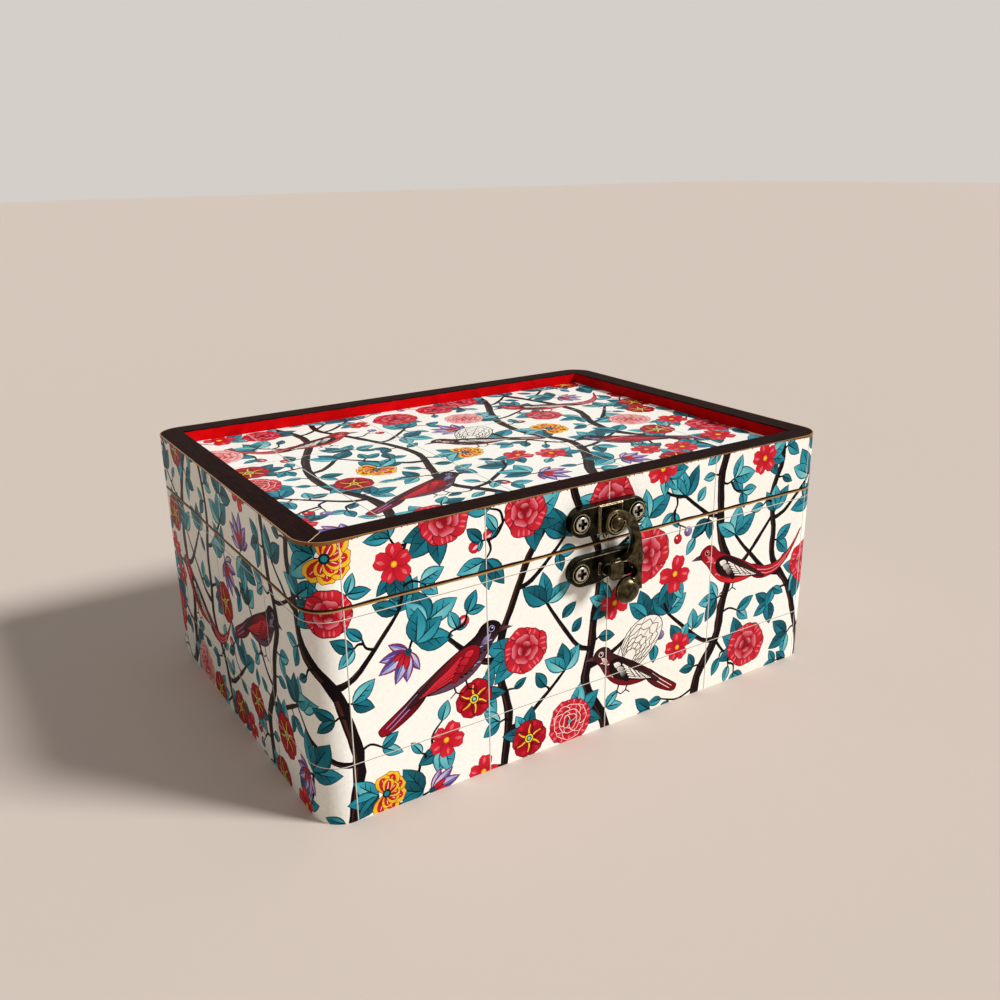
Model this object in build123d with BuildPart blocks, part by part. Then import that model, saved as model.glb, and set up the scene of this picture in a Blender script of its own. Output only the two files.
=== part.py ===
"""Small hinged gift box of mitred boards under printed paper.

The lid has a recessed top panel, two butt hinges carry it at the back, and a
swing-hook latch holds it at the front.

Frame: millimetres, +X to the right along the front, -Y out of the front, +Z up.
The origin is the middle of the flat underside.
"""
import os

from build123d import *

# Overall size of the closed box, paper included and fittings left out
box_width = 182.0
box_depth = 134.0
box_height = 80.0
case_height = 61.6
seam_gap = 0.3
corner_radius = 8.5

# Boards and panels
rim_width = 8.0
paper_thickness = 0.3
panel_thickness = 3.0
recess_depth = 4.0
groove_depth = 3.0
rebate_depth = 4.0
inner_edge_round = 0.4
recess_print_margin = 0.2

# Wood screws with a crossed recess
screw_shank_radius = 0.9
screw_length = 6.0
screw_tip_chamfer = 0.7
screw_hole_play = 0.05
cross_length = 2.3
cross_width = 0.55
cross_depth = 0.7

# Butt hinges on the back
hinge_offset_x = 54.0
hinge_length = 20.0
hinge_knuckles = 3
hinge_barrel_radius = 1.5
hinge_pin_radius = 0.7
hinge_pin_play = 0.05
hinge_leaf_height = 9.5
hinge_leaf_thickness = 0.8
hinge_leaf_corner = 1.5
hinge_stand_off = 0.05
hinge_gap = 0.2
hinge_screw_spacing = 12.0
hinge_screw_height = 5.4
hinge_screw_head_radius = 1.7
hinge_screw_head_rise = 0.2
pin_head_height = 0.4

# Swing-hook latch on the front, depths measured outwards from the paper
latch_x = -0.7
plate_length = 27.0
plate_height = 8.8
plate_depth = 3.0
plate_edge_round = 0.7
latch_screw_spacing = 20.0
dish_radius = 2.7
dish_depth = 0.7
latch_screw_head_radius = 2.2
latch_screw_head_height = 1.2
latch_screw_head_round = 0.5
latch_cross_length = 3.1
latch_cross_width = 1.1
upper_plate_z = 69.9
lower_plate_z = 54.9

# Upper plate: raised middle that carries the rivet, pointed at its foot
boss_width = 8.4
boss_depth = 3.7
foot_half_width = 2.4
foot_drop = 2.7
foot_depth = 1.4

# Swing hook, outline measured from its pivot
pivot_z = 69.2
hook_back = 3.8
hook_front = 6.2
hook_edge_round = 0.45
scroll_radius = 3.8
scroll_groove_outer = 3.0
scroll_groove_inner = 2.2
scroll_groove_depth = 1.2
rivet_radius = 1.4
rivet_play = 0.05
rivet_head_radius = 1.95
rivet_head_height = 1.1
rivet_root = 0.6
knob_x = 5.95
knob_z = -22.55
knob_radius = 4.15
knob_back = 3.6
knob_side = 4.7
knob_front = 7.0
knob_neck_shift = 0.6

# Catch: post with a wide head, riveted into the lower plate
catch_x = -0.75
catch_z = -15.1
catch_post_radius = 1.6
catch_head_width = 4.5
catch_head_height = 6.0
catch_head_corner = 1.5
catch_head_back = 6.6
catch_head_front = 8.0
catch_head_round = 0.6
catch_head_rise = 1.3
bead_offset = 3.3
bead_width = 1.1
bead_height = 3.6
bead_rise = 0.6
bead_round = 0.45
waist_half_width = 3.4
waist_cut = 1.2

# Places worked out from the sizes above
board_width = box_width - 2 * paper_thickness
board_depth = box_depth - 2 * paper_thickness
board_corner_radius = corner_radius - paper_thickness
inner_width = box_width - 2 * rim_width
inner_depth = box_depth - 2 * rim_width
lid_bottom = case_height + seam_gap
lid_height = box_height - lid_bottom
recess_floor = box_height - recess_depth
lid_panel_top = recess_floor - paper_thickness
lid_panel_bottom = lid_panel_top - panel_thickness
hinge_axis_y = box_depth / 2 + hinge_barrel_radius + hinge_stand_off
hinge_axis_z = case_height + seam_gap / 2
front_y = box_depth / 2

front_plane = Plane.XZ.offset(front_y)
back_plane = Plane(origin=(0, box_depth / 2, 0), x_dir=(-1, 0, 0), z_dir=(0, 1, 0))
upper_screws = [(latch_x + side * latch_screw_spacing / 2, upper_plate_z) for side in (-1, 1)]
lower_screws = [(latch_x + side * latch_screw_spacing / 2, lower_plate_z) for side in (-1, 1)]
hinge_screw_xs = [
    hinge_side * hinge_offset_x + screw_side * hinge_screw_spacing / 2
    for hinge_side in (-1, 1)
    for screw_side in (-1, 1)
]
lid_hinge_screws = [(x, hinge_axis_z + hinge_screw_height) for x in hinge_screw_xs]
case_hinge_screws = [(x, hinge_axis_z - hinge_screw_height) for x in hinge_screw_xs]
hole_radius = screw_shank_radius + screw_hole_play


def save(part, name):
    """Label one finished piece and write its STEP file."""
    part.label = name
    export_step(part, f"parts/{name}.step")


def mitre_outline(side):
    """Corner points of the plan area that one mitred board takes."""
    half_w = box_width / 2
    half_d = box_depth / 2
    front = [(-half_w, -half_d), (half_w, -half_d), (half_w - half_d, 0), (half_d - half_w, 0)]
    left = [(-half_w, -half_d), (half_d - half_w, 0), (-half_w, half_d)]
    outlines = {
        "front": front,
        "back": [(x, -y) for x, y in front],
        "left": left,
        "right": [(-x, y) for x, y in left],
    }
    return outlines[side]


def board(side, low, height, cut_low, cut_height, cut_depth, screws_front, screws_back):
    """One board of a mitred frame, with the groove or rebate for its panel and screw holes."""
    with BuildPart() as piece:
        with BuildSketch(Plane.XY.offset(low)):
            RectangleRounded(board_width, board_depth, board_corner_radius)
            Rectangle(inner_width, inner_depth, mode=Mode.SUBTRACT)
        extrude(amount=height)
        with BuildSketch(Plane.XY.offset(cut_low)):
            Rectangle(inner_width + 2 * cut_depth, inner_depth + 2 * cut_depth)
        extrude(amount=cut_height, mode=Mode.SUBTRACT)
        top_edges = piece.edges().filter_by_position(Axis.Z, low + height, low + height)
        inner_edges = top_edges.filter_by(
            lambda edge: abs(edge.center().X) < inner_width / 2 + inner_edge_round
            and abs(edge.center().Y) < inner_depth / 2 + inner_edge_round
        )
        fillet(inner_edges, inner_edge_round)
        with BuildSketch(Plane.XY.offset(low)):
            with BuildLine():
                Polyline(mitre_outline(side), close=True)
            make_face()
        extrude(amount=height, mode=Mode.INTERSECT)
        if side == "front":
            with BuildSketch(front_plane):
                with Locations(screws_front):
                    Circle(hole_radius)
            extrude(amount=-screw_length, mode=Mode.SUBTRACT)
        if side == "back":
            with BuildSketch(back_plane):
                with Locations([(-x, z) for x, z in screws_back]):
                    Circle(hole_radius)
            extrude(amount=-screw_length, mode=Mode.SUBTRACT)
    return piece.part


def paper_wrap(low, height, screws_front, screws_back):
    """Printed paper glued all round one half of the box."""
    with BuildPart() as wrap:
        with BuildSketch(Plane.XY.offset(low)):
            RectangleRounded(box_width, box_depth, corner_radius)
            RectangleRounded(board_width, board_depth, board_corner_radius, mode=Mode.SUBTRACT)
        extrude(amount=height)
        with BuildSketch(front_plane):
            with Locations(screws_front):
                Circle(hole_radius)
        extrude(amount=-rim_width, mode=Mode.SUBTRACT)
        with BuildSketch(back_plane):
            with Locations([(-x, z) for x, z in screws_back]):
                Circle(hole_radius)
        extrude(amount=-rim_width, mode=Mode.SUBTRACT)
    return wrap.part


def latch_screws(points):
    """Two latch screws, their round heads down in the plate's dishes."""
    seat = plate_depth - dish_depth
    with BuildPart() as screws:
        with BuildSketch(front_plane.offset(seat)):
            with Locations(points):
                Circle(latch_screw_head_radius)
        extrude(amount=latch_screw_head_height)
        front = screws.edges().group_by(Axis.Y)[0]
        fillet(front, latch_screw_head_round)
        with BuildSketch(front_plane.offset(seat)):
            with Locations(points):
                Circle(screw_shank_radius)
        extrude(amount=-(screw_length + seat - 2 * screw_hole_play))
        chamfer(screws.edges().group_by(Axis.Y)[-1], screw_tip_chamfer)
        with BuildSketch(front_plane.offset(seat + latch_screw_head_height)):
            with Locations(points):
                Rectangle(latch_cross_length, latch_cross_width)
                Rectangle(latch_cross_width, latch_cross_length)
        extrude(amount=-cross_depth, mode=Mode.SUBTRACT)
    return screws.part


def hinge_screws(points):
    """Four countersunk screws that hold two hinge leaves."""
    head_top = hinge_leaf_thickness + hinge_screw_head_rise
    mirrored = [(-x, z) for x, z in points]
    with BuildPart() as screws:
        with BuildSketch(back_plane.offset(hinge_leaf_thickness)):
            with Locations(mirrored):
                Circle(hinge_screw_head_radius)
        extrude(amount=-hinge_leaf_thickness, taper=45)
        with BuildSketch(back_plane.offset(hinge_leaf_thickness)):
            with Locations(mirrored):
                Circle(hinge_screw_head_radius)
        extrude(amount=hinge_screw_head_rise, taper=30)
        with BuildSketch(back_plane.offset(hinge_leaf_thickness)):
            with Locations(mirrored):
                Circle(screw_shank_radius)
        extrude(amount=-(screw_length + hinge_leaf_thickness - 2 * screw_hole_play))
        chamfer(screws.edges().group_by(Axis.Y)[0], screw_tip_chamfer)
        with BuildSketch(back_plane.offset(head_top)):
            with Locations(mirrored):
                Rectangle(cross_length, cross_width)
                Rectangle(cross_width, cross_length)
        extrude(amount=-cross_depth, mode=Mode.SUBTRACT)
    return screws.part


def hinge_leaf(centre_x, up, knuckle_numbers, bore_radius):
    """One hinge leaf with its knuckles; up is 1 for the lid's leaf and -1 for the case's."""
    knuckle_length = hinge_length / hinge_knuckles
    plate_near = hinge_barrel_radius + hinge_gap
    plate_span = hinge_leaf_height - plate_near
    plate_z = hinge_axis_z + up * (plate_near + plate_span / 2)
    barrel_plane = Plane(
        origin=(centre_x - hinge_length / 2, hinge_axis_y, hinge_axis_z),
        x_dir=(0, 1, 0),
        z_dir=(1, 0, 0),
    )
    screw_z = hinge_axis_z + up * hinge_screw_height
    screw_points = [(-centre_x + side * hinge_screw_spacing / 2, screw_z) for side in (-1, 1)]
    with BuildPart() as leaf:
        with BuildSketch(back_plane):
            with Locations((-centre_x, plate_z)):
                Rectangle(hinge_length, plate_span)
        extrude(amount=hinge_leaf_thickness)
        far_corners = leaf.edges().filter_by(Axis.Y).group_by(Axis.Z)[-1 if up > 0 else 0]
        fillet(far_corners, hinge_leaf_corner)
        for number in knuckle_numbers:
            start = number * knuckle_length + hinge_gap / 2
            length = knuckle_length - hinge_gap
            with BuildSketch(barrel_plane.offset(start)):
                Circle(hinge_barrel_radius)
                with Locations((-(hinge_barrel_radius - hinge_leaf_thickness / 2), up * plate_near / 2)):
                    Rectangle(hinge_leaf_thickness, plate_near)
            extrude(amount=length)
        with BuildSketch(barrel_plane):
            Circle(bore_radius)
        extrude(amount=hinge_length, mode=Mode.SUBTRACT)
        with BuildSketch(back_plane.offset(hinge_leaf_thickness)):
            with Locations(screw_points):
                Circle(hinge_screw_head_radius)
        extrude(amount=-hinge_leaf_thickness, taper=45, mode=Mode.SUBTRACT)
        with BuildSketch(back_plane):
            with Locations(screw_points):
                Circle(screw_shank_radius)
        extrude(amount=hinge_leaf_thickness, mode=Mode.SUBTRACT)
    return leaf.part


def hinge_pin(centre_x):
    """Hinge pin with both ends peened over into low heads."""
    pin_plane = Plane(
        origin=(centre_x - hinge_length / 2, hinge_axis_y, hinge_axis_z),
        x_dir=(0, 1, 0),
        z_dir=(1, 0, 0),
    )
    with BuildPart() as pin:
        with BuildSketch(pin_plane):
            Circle(hinge_pin_radius)
        extrude(amount=hinge_length)
        for start, way in ((0, -1), (hinge_length, 1)):
            with BuildSketch(pin_plane.offset(start)):
                Circle(hinge_pin_radius + pin_head_height)
            extrude(amount=way * pin_head_height, taper=30)
    return pin.part


def latch_plate(centre_z):
    """Plain cast plate with round lobes and a dished hole in each of them."""
    screws = [(latch_x + side * latch_screw_spacing / 2, centre_z) for side in (-1, 1)]
    with BuildPart() as plate:
        with BuildSketch(front_plane):
            with Locations((latch_x, centre_z)):
                SlotOverall(plate_length, plate_height)
        extrude(amount=plate_depth)
        fillet(plate.edges().group_by(Axis.Y)[0], plate_edge_round)
        with BuildSketch(front_plane.offset(plate_depth)):
            with Locations(screws):
                Circle(dish_radius)
        extrude(amount=-dish_depth, mode=Mode.SUBTRACT)
        with BuildSketch(front_plane):
            with Locations(screws):
                Circle(hole_radius)
        extrude(amount=plate_depth, mode=Mode.SUBTRACT)
    return plate.part


os.makedirs("parts", exist_ok=True)

# Mitred walls of the case, rebated for the bottom panel
for wall_side in ("front", "back", "left", "right"):
    wall = board(
        wall_side, 0, case_height, 0, panel_thickness, rebate_depth, lower_screws, case_hinge_screws
    )
    save(wall, f"case_{wall_side}_wall")

# Bottom panel, glued into the rebate and flush with the walls' feet
with BuildPart() as bottom_panel:
    with BuildSketch():
        Rectangle(inner_width + 2 * rebate_depth, inner_depth + 2 * rebate_depth)
    extrude(amount=panel_thickness)
save(bottom_panel.part, "bottom_panel")

save(paper_wrap(0, case_height, lower_screws, case_hinge_screws), "case_print_paper")

# Mitred rails of the lid, grooved for the top panel
for rail_side in ("front", "back", "left", "right"):
    rail = board(
        rail_side,
        lid_bottom,
        lid_height,
        lid_panel_bottom,
        panel_thickness,
        groove_depth,
        upper_screws,
        lid_hinge_screws,
    )
    save(rail, f"lid_{rail_side}_rail")

# Top panel, caught in the rails' grooves
with BuildPart() as lid_panel:
    with BuildSketch(Plane.XY.offset(lid_panel_bottom)):
        Rectangle(inner_width + 2 * groove_depth, inner_depth + 2 * groove_depth)
    extrude(amount=panel_thickness)
save(lid_panel.part, "lid_panel")

# Printed paper on the floor of the recess
with BuildPart() as lid_panel_print:
    with BuildSketch(Plane.XY.offset(lid_panel_top)):
        Rectangle(inner_width - 2 * recess_print_margin, inner_depth - 2 * recess_print_margin)
    extrude(amount=paper_thickness)
save(lid_panel_print.part, "lid_panel_print")

save(paper_wrap(lid_bottom, lid_height, upper_screws, lid_hinge_screws), "lid_print_paper")

# Hinges: the case's leaf has the outer knuckles and holds the pin, the lid's leaf turns on it
for side_name, side_sign in (("left", -1), ("right", 1)):
    hinge_x = side_sign * hinge_offset_x
    save(hinge_leaf(hinge_x, -1, (0, 2), hinge_pin_radius), f"{side_name}_hinge_case_leaf")
    save(hinge_leaf(hinge_x, 1, (1,), hinge_pin_radius + hinge_pin_play), f"{side_name}_hinge_lid_leaf")
    save(hinge_pin(hinge_x), f"{side_name}_hinge_pin")
save(hinge_screws(case_hinge_screws), "case_hinge_screws")
save(hinge_screws(lid_hinge_screws), "lid_hinge_screws")

# Upper latch plate: lobed plate, raised middle and pointed foot
with BuildPart() as upper_latch_plate:
    add(latch_plate(upper_plate_z))
    with BuildSketch(front_plane):
        with Locations((latch_x, upper_plate_z)):
            Rectangle(boss_width, plate_height)
    extrude(amount=boss_depth)
    boss_front = upper_latch_plate.edges().group_by(Axis.Y)[0]
    chamfer(boss_front, plate_edge_round / 2)
    foot_top = upper_plate_z - plate_height / 2 + foot_depth / 2
    foot_tip = upper_plate_z - plate_height / 2 - foot_drop
    foot_middle = (foot_top + foot_tip) / 2
    with BuildSketch(front_plane):
        with BuildLine():
            left_curve = ThreePointArc(
                (latch_x - foot_half_width, foot_top),
                (latch_x - foot_half_width / 3, foot_middle),
                (latch_x, foot_tip),
            )
            right_curve = ThreePointArc(
                (latch_x, foot_tip),
                (latch_x + foot_half_width / 3, foot_middle),
                (latch_x + foot_half_width, foot_top),
            )
            Line(right_curve @ 1, left_curve @ 0)
        make_face()
    extrude(amount=foot_depth)
    with BuildSketch(front_plane):
        with Locations((latch_x, pivot_z)):
            Circle(rivet_radius)
    extrude(amount=boss_depth, mode=Mode.SUBTRACT)
save(upper_latch_plate.part, "upper_latch_plate")

# Rivet that the hook turns on, headed over in front of the hook
with BuildPart() as latch_rivet:
    with BuildSketch(front_plane.offset(rivet_root)):
        with Locations((latch_x, pivot_z)):
            Circle(rivet_radius)
    extrude(amount=hook_front + rivet_play - rivet_root)
    with BuildSketch(front_plane.offset(hook_front + rivet_play)):
        with Locations((latch_x, pivot_z)):
            Circle(rivet_head_radius)
    extrude(amount=rivet_head_height)
    fillet(latch_rivet.edges().group_by(Axis.Y)[0], rivet_head_height - rivet_play)
save(latch_rivet.part, "latch_rivet")

# Swing hook: scroll round the rivet, curved arm, open notch for the catch and a round knob
hook_origin = Plane(origin=(latch_x, -front_y, pivot_z), x_dir=(1, 0, 0), z_dir=(0, -1, 0))
knob_plane = Plane(origin=(latch_x + knob_x, -front_y, pivot_z + knob_z), x_dir=(1, 0, 0), z_dir=(0, 0, 1))
crown_rise = knob_front - knob_side
crown_radius = (knob_radius**2 + crown_rise**2) / (2 * crown_rise)
crown_half_way = knob_front - crown_radius + (crown_radius**2 - (knob_radius / 2) ** 2) ** 0.5
with BuildPart() as swing_hook:
    with BuildSketch(hook_origin.offset(hook_back)):
        Circle(scroll_radius)
        with BuildLine():
            shoulder = ThreePointArc((0, scroll_radius), (5.2, 1.5), (8.6, -3.8))
            back_of_arm = ThreePointArc(shoulder @ 1, (9.9, -9.6), (9.9, -16.0))
            tail = Line(back_of_arm @ 1, (knob_x + knob_radius, knob_z))
            into_knob = Line(tail @ 1, (knob_x, knob_z))
            out_of_knob = Line(into_knob @ 1, (knob_x + knob_neck_shift, knob_z + knob_radius))
            throat = ThreePointArc(out_of_knob @ 1, (8.1, -17.4), (7.6, -15.2))
            jaw_under = ThreePointArc(throat @ 1, (5.4, -13.3), (2.6, -12.5))
            jaw_over = ThreePointArc(jaw_under @ 1, (6.1, -10.0), (6.9, -7.2))
            inside_of_arm = ThreePointArc(jaw_over @ 1, (6.2, -4.6), (3.4, -1.4))
            Polyline(inside_of_arm @ 1, (0, 0), (0, scroll_radius))
        make_face()
    extrude(amount=hook_front - hook_back)
    fillet(swing_hook.edges().group_by(Axis.Y)[0], hook_edge_round)
    with BuildSketch(knob_plane):
        with BuildLine():
            edge = Polyline((0, -knob_front), (0, -knob_back), (knob_radius, -knob_back), (knob_radius, -knob_side))
            ThreePointArc(edge @ 1, (knob_radius / 2, -crown_half_way), edge @ 0)
        make_face()
    revolve(axis=Axis(knob_plane.origin, (0, 1, 0)))
    with BuildSketch(hook_origin.offset(hook_front)):
        Circle(scroll_groove_outer)
        Circle(scroll_groove_inner, mode=Mode.SUBTRACT)
        with Locations((scroll_radius / 2, scroll_radius / 2)):
            Rectangle(scroll_radius, scroll_radius, mode=Mode.SUBTRACT)
    extrude(amount=-scroll_groove_depth, mode=Mode.SUBTRACT)
    with BuildSketch(hook_origin):
        Circle(rivet_radius + rivet_play)
    extrude(amount=hook_front, mode=Mode.SUBTRACT)
save(swing_hook.part, "swing_hook")

# Lower latch plate: same lobes, waisted at its foot, a bead on each side of the catch
with BuildPart() as lower_latch_plate:
    add(latch_plate(lower_plate_z))
    with BuildSketch(front_plane.offset(plate_depth)):
        with Locations([(latch_x + side * bead_offset, lower_plate_z) for side in (-1, 1)]):
            SlotOverall(bead_height, bead_width, rotation=90)
    extrude(amount=bead_rise)
    fillet(lower_latch_plate.edges().group_by(Axis.Y)[0], bead_round)
    with BuildSketch(front_plane):
        with BuildLine():
            foot_z = lower_plate_z - plate_height / 2
            waist = ThreePointArc(
                (latch_x - waist_half_width, foot_z),
                (latch_x, foot_z + waist_cut),
                (latch_x + waist_half_width, foot_z),
            )
            Line(waist @ 1, waist @ 0)
        make_face()
    extrude(amount=plate_depth, mode=Mode.SUBTRACT)
    with BuildSketch(front_plane):
        with Locations((latch_x + catch_x, pivot_z + catch_z)):
            Circle(catch_post_radius)
    extrude(amount=plate_depth, mode=Mode.SUBTRACT)
save(lower_latch_plate.part, "lower_latch_plate")

# Catch post with its wide head
with BuildPart() as catch_post:
    with BuildSketch(front_plane):
        with Locations((latch_x + catch_x, pivot_z + catch_z)):
            Circle(catch_post_radius)
    extrude(amount=catch_head_back)
    with BuildSketch(front_plane.offset(catch_head_back)):
        with Locations((latch_x + catch_x, pivot_z + catch_z + catch_head_rise)):
            RectangleRounded(catch_head_width, catch_head_height, catch_head_corner)
    extrude(amount=catch_head_front - catch_head_back)
    fillet(catch_post.edges().group_by(Axis.Y)[0], catch_head_round)
save(catch_post.part, "catch_post")

save(latch_screws(upper_screws), "upper_latch_screws")
save(latch_screws(lower_screws), "lower_latch_screws")
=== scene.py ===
import math
import random
from collections import namedtuple
from functools import partial

import bpy
import numpy as np
from bpy.props import FloatProperty, FloatVectorProperty, IntProperty, PointerProperty
from bpy.types import Operator, Panel, PropertyGroup
from mathutils import Matrix, Vector
from mathutils.geometry import delaunay_2d_cdt


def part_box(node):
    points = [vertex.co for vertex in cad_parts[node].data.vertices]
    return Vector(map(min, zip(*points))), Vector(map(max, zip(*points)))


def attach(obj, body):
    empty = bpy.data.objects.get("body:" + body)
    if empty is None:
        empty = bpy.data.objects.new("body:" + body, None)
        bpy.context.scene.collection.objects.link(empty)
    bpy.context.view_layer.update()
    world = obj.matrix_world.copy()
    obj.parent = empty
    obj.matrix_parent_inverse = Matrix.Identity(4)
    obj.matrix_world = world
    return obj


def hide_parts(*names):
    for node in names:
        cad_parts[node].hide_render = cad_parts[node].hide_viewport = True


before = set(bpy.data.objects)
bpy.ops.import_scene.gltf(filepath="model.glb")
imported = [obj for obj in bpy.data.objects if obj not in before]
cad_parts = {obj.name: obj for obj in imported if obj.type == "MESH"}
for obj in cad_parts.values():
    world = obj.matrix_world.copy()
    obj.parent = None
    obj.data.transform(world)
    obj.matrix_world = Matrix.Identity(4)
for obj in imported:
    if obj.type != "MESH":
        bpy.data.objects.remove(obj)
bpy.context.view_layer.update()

bl_info = {
    "name": "Bird and Flower Gift Box",
    "version": (1, 0, 0),
    "blender": (4, 5, 0),
    "location": "View3D > Sidebar > Gift Box",
    "description": "Printed paper, stained rims, red paint and bronze fittings for a small hinged gift box",
    "category": "Object",
}

MM = 0.001

# The solids' box, and the heights and half sizes that every piece is placed by
CASE_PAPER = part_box("case_print_paper")
LID_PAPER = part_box("lid_print_paper")
RECESS_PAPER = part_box("lid_panel_print")
HALF_WIDTH = CASE_PAPER[1].x
HALF_DEPTH = CASE_PAPER[1].y
CASE_TOP = CASE_PAPER[1].z
LID_FOOT = LID_PAPER[0].z
LID_TOP = LID_PAPER[1].z
RECESS_HALF_WIDTH = RECESS_PAPER[1].x
RECESS_HALF_DEPTH = RECESS_PAPER[1].y
RECESS_FLOOR = RECESS_PAPER[1].z


def linear(hex_colour):
    """Linear RGB of an sRGB hex colour."""
    channels = [int(hex_colour[i : i + 2], 16) / 255 for i in (1, 3, 5)]
    return tuple(c / 12.92 if c <= 0.04045 else ((c + 0.055) / 1.055) ** 2.4 for c in channels)


# Printing inks, as the varnished sheet shows them
INK_COLOURS = {
    "bark": "#150C0E", "bark_light": "#45241F",
    "leaf_line": "#0A262D", "leaf_dark": "#124550", "leaf_deep": "#1A6472",
    "leaf": "#1F8094", "leaf_light": "#42A6B4", "leaf_pale": "#8FD0CF",
    "red_line": "#5E0714", "red_deep": "#94101F", "red": "#B81226", "scarlet": "#D92B2A",
    "rose": "#DA2A38", "pink": "#EE8B98", "blush": "#FBE3DC",
    "wine_line": "#3A0611", "wine": "#7E0D1B", "yellow": "#F6CE34", "amber": "#E79A22",
    "violet_line": "#9C1530", "violet_deep": "#34306E", "violet": "#55509C",
    "lilac": "#9A97CC", "lilac_pale": "#DEDAEC",
    "umber": "#3B1B1D", "umber_deep": "#180B0D", "dusk": "#6C4658", "white": "#F7F2E8",
    # The seam's dark ink is painted shade, standing for the shadow in the gap between lid and case
    "seam_painted_shade": "#33180B", "seam_tan": "#B28A52", "stain_creep": "#8A5A30", "stain_dark": "#4E2C18",
    "joint_dark": "#8C867A", "joint_light": "#F8F4E9",
}
INK = {name: np.array(linear(value)) for name, value in INK_COLOURS.items()}
PAPER_CORE = np.array(linear("#B08A5C"))


# Flat drawing in millimetres

def smooth(points, closed=False, steps=4):
    """Points along the Catmull-Rom curve through the given points."""
    pts = [np.array(p, float) for p in points]
    count = len(pts)
    out = []
    for i in range(count if closed else count - 1):
        places = [k % count if closed else min(max(k, 0), count - 1) for k in range(i - 1, i + 3)]
        before, start, end, after = (pts[k] for k in places)
        for t in (k / steps for k in range(steps)):
            bend = 2 * start + (end - before) * t
            bend = bend + (2 * before - 5 * start + 4 * end - after) * t**2
            out.append(0.5 * (bend + (3 * start - before - 3 * end + after) * t**3))
    if not closed:
        out.append(pts[-1])
    return np.array(out)


def heading(angle):
    return np.array([math.cos(angle), math.sin(angle)])


def bearing(start, end):
    return math.atan2(end[1] - start[1], end[0] - start[0])


def turn(points, at, angle, size=1.0, flip=1):
    """Points scaled, mirrored, turned by angle and moved to at."""
    pts = np.array(points, float) * size
    pts[:, 1] *= flip
    cos, sin = math.cos(angle), math.sin(angle)
    return pts @ np.array([[cos, sin], [-sin, cos]]) + np.array(at, float)


def unit(vectors):
    return vectors / np.maximum(np.linalg.norm(vectors, axis=1, keepdims=True), 1e-9)


def left_of(path):
    """Unit vectors to the left of a path, at each of its points."""
    ahead = unit(np.gradient(path, axis=0))
    return np.stack([-ahead[:, 1], ahead[:, 0]], -1)


def winding(outline):
    """Twice the area inside an outline, below 0 where it runs clockwise."""
    following = np.roll(outline, -1, 0)
    return (outline[:, 0] * following[:, 1] - following[:, 0] * outline[:, 1]).sum()


def grown(outline, edge):
    """The outline moved outwards by edge."""
    ahead = unit(np.roll(outline, -1, 0) - np.roll(outline, 1, 0))
    out = np.stack([ahead[:, 1], -ahead[:, 0]], -1) * (1 if winding(outline) > 0 else -1)
    return outline + out * edge


def lens(length, width, fullness=0.85, steps=6):
    """Outline of a leaf or pointed petal that starts at the origin and points along +X."""
    t = np.linspace(0, 1, steps + 1)
    half = width / 2 * np.sin(np.pi * t**fullness)
    upper = np.stack([t * length, half], -1)
    lower = np.stack([t * length, -half], -1)[1:-1][::-1]
    return np.concatenate([upper, lower])


def petal(length, width, notch=0.0, steps=6):
    """Outline of a blunt petal, with a notch in its end when notch is over 0."""
    angle = np.linspace(-np.pi, np.pi, steps * 2, endpoint=False)
    reach = np.cos(angle / 2) ** 0.5
    x = length * (0.5 + 0.5 * np.cos(angle)) * (1 - notch * np.exp(-((angle / 0.4) ** 2)))
    y = width / 2 * np.sin(angle) * reach * 1.25
    return np.stack([x, y], -1)


def circle(at, radius, steps=10):
    angle = np.linspace(0, 2 * np.pi, steps, endpoint=False)
    return np.stack([at[0] + radius * np.cos(angle), at[1] + radius * np.sin(angle)], -1)


class Drawing:
    """Coloured shapes on a sheet, in millimetres; a later shape covers an earlier one."""

    def __init__(self, width, height, seed):
        self.width = width
        self.height = height
        self.shapes = []
        self.taken = np.zeros((0, 3))
        self.boughs = np.zeros((0, 2))
        self.random = random.Random(seed)

    def fill(self, points, colour, far_colour=None, near=None, far=None):
        """Adds one shape, in one colour or running from colour at near to far_colour at far."""
        start = INK[colour]
        end = INK[far_colour or colour]
        near = np.array(near if near is not None else points[0], float)
        far = np.array(far if far is not None else near + (1, 0), float)
        self.shapes.append((np.array(points, float), start, end, near, far))

    def inked(self, points, line, colour, far_colour, near, far, edge):
        """Adds a shape with an outline round it."""
        self.fill(grown(points, edge), line)
        self.fill(points, colour, far_colour, near, far)

    def lay(self, shape, at, way, length, inks, root=0.0, edge=0.2):
        """Adds a shape that is drawn along +X, turned from at towards way.

        Its last two inks run from root, a share of its length, to its tip. The first of
        three inks draws its outline.
        """
        draw = partial(self.inked, edge=edge) if len(inks) == 3 else self.fill
        near = at + length * root * heading(way)
        draw(turn(shape, at, way), *inks, near=near, far=at + length * heading(way))

    def rings(self, at, radius, rings):
        """Adds discs on one middle, each by its share of the radius, its corners and its ink."""
        for share, steps, colour in rings:
            self.fill(circle(at, radius * share, steps), colour)

    def bar(self, left, right, low, high, colour):
        self.fill([(left, low), (right, low), (right, high), (left, high)], colour)

    def stroke(self, path, width, end_width, colour):
        """Adds a tapering line along a path."""
        path = np.array(path, float)
        across = left_of(path) * (np.linspace(width, end_width, len(path))[:, None] / 2)
        self.fill(np.concatenate([path + across, (path - across)[::-1]]), colour)

    def take(self, at, radius):
        self.taken = np.vstack([self.taken, [at[0], at[1], radius]])

    def room(self, at):
        """Distance from a point to the nearest thing already drawn."""
        return (np.hypot(self.taken[:, 0] - at[0], self.taken[:, 1] - at[1]) - self.taken[:, 2]).min()

    def nearest_bough(self, at):
        return self.boughs[np.argmin(np.hypot(self.boughs[:, 0] - at[0], self.boughs[:, 1] - at[1]))]


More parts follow.
